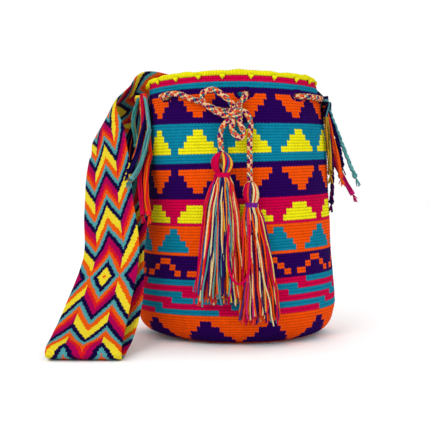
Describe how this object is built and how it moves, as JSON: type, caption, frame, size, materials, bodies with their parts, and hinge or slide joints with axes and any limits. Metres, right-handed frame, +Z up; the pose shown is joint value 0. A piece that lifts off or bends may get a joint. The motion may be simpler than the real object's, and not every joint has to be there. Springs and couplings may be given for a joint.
{
  "type": "crocheted mochila bag",
  "caption": "Crocheted bucket bag with a woven zigzag shoulder strap, a braided drawstring tied in a bow, tassels and fringes.",
  "frame": {"origin": "centre of the flat base's underside, on the axis of the bag's round body", "axes": "+Z up through the mouth, front with the bow towards -Y, folded strap at -X"},
  "size_m": [0.3419, 0.311, 0.3141],
  "materials": {
    "crochet_body": "matte crocheted cotton in orange, purple, teal, yellow and magenta",
    "woven_strap": "matte twined cotton in zigzag stripes",
    "drawcord": "matte braided yarn, cream, magenta, orange and teal",
    "tassel_yarn": "loose mixed yarn",
    "tie_yarn": "tight yarn winding",
    "fringe_navy": "braided yarn",
    "fringe_teal": "braided yarn",
    "fringe_orange": "braided yarn",
    "fringe_red": "braided yarn",
    "fringe_magenta": "braided yarn",
    "fringe_plum": "braided yarn",
    "fringe_yellow": "braided yarn"
  },
  "bodies": {
    "root": {"bag_body": "crochet_body", "shoulder_strap": "woven_strap", "strap_binding_left": "fringe_orange", "strap_binding_right": "fringe_navy", "drawstring_threaded": "drawcord", "drawstring_left_run": "drawcord", "bow_loop_left": "drawcord", "drawstring_left_end": "drawcord", "drawstring_right_run": "drawcord", "bow_loop_right": "drawcord", "drawstring_right_end": "drawcord", "bow_knot": "drawcord", "tassel_head_left": "tassel_yarn", "tassel_tie_left": "fringe_magenta", "tassel_skirt_left": "tassel_yarn", "tassel_head_right": "tassel_yarn", "tassel_tie_right": "tie_yarn", "tassel_skirt_right": "tassel_yarn", "tassel_yarn_loop": "fringe_magenta", "tail_left_teal_loop": "fringe_teal", "tail_left_amber": "fringe_yellow", "tail_left_navy": "fringe_navy", "tail_left_teal": "fringe_teal", "tail_left_red": "fringe_red", "tail_left_orange": "fringe_orange", "tail_right_teal": "fringe_teal", "tail_right_navy": "fringe_navy", "tail_right_orange": "fringe_orange", "tail_right_magenta": "fringe_magenta", "tail_right_plum": "fringe_plum", "tail_right_yellow": "fringe_yellow"}
  },
  "joints": []
}
